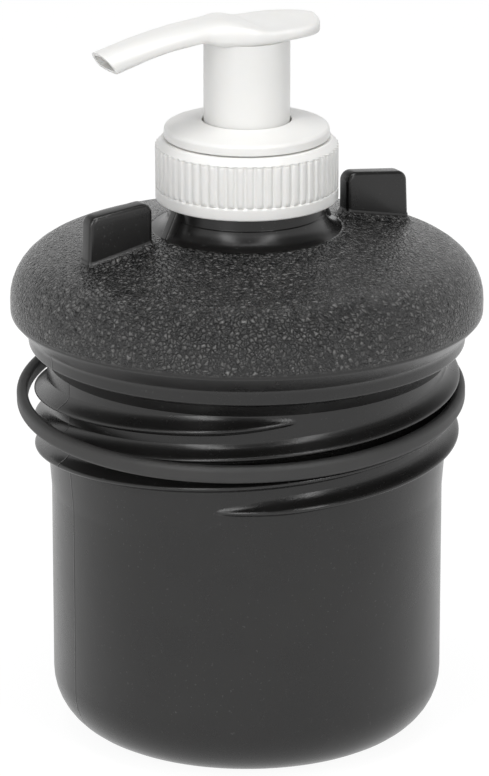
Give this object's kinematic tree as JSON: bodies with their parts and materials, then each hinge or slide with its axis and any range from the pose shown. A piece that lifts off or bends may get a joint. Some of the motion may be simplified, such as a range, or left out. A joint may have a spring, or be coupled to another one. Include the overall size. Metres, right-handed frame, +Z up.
{
  "type": "screw-in soap container with pump",
  "caption": "Blown plastic liquid-soap container with a coarse screw thread, mushroom flange, grip lugs, loose rubber ring and a hand pump, made to hang in the mouth of a water tank.",
  "frame": {"origin": "middle of the base, on the plane that the container stands on, on the axis of the body", "axes": "+Z up along the body's axis; the two grip lugs lie on +X and -X and the spout points to -X at rest"},
  "size_m": [0.108, 0.108, 0.1691],
  "materials": {
    "black_plastic": "satin black polyethylene, pebbled on the flange",
    "black_rubber": "matt",
    "white_plastic": "smooth semi-gloss polypropylene",
    "natural_plastic": "natural milky polyethylene",
    "spring_steel": "bright stainless"
  },
  "bodies": {
    "vessel": {"container": "black_plastic", "seal_ring": "black_rubber"},
    "pump_unit": {"lock_collar": "white_plastic", "neck_gasket": "natural_plastic", "pump_housing": "white_plastic", "inlet_ball": "spring_steel", "dip_tube": "natural_plastic", "return_spring": "spring_steel"},
    "closure": {"screw_closure": "white_plastic"},
    "piston": {"piston_seal": "natural_plastic"},
    "actuator": {"piston_seat": "white_plastic", "pump_stem": "white_plastic", "pump_head": "white_plastic"}
  },
  "joints": [
    {"name": "pump_lift", "type": "slide", "parent": "vessel", "child": "pump_unit", "axis": [0, 0, 1], "range_m": [0, 0.15]},
    {"name": "closure_turn", "type": "hinge", "parent": "pump_unit", "child": "closure", "pos_m": [0, 0, 0.133], "axis": [0, 0, 1], "range_deg": [0, 450]},
    {"name": "pump_stroke", "type": "slide", "parent": "pump_unit", "child": "piston", "axis": [0, 0, 1], "range_m": [-0.016, 0], "stiffness_N_per_m": 700, "springref_m": 0.012, "deforming": ["return_spring"]},
    {"name": "head_turn", "type": "hinge", "parent": "piston", "child": "actuator", "pos_m": [0, 0, 0.15], "axis": [0, 0, 1], "continuous": true}
  ]
}
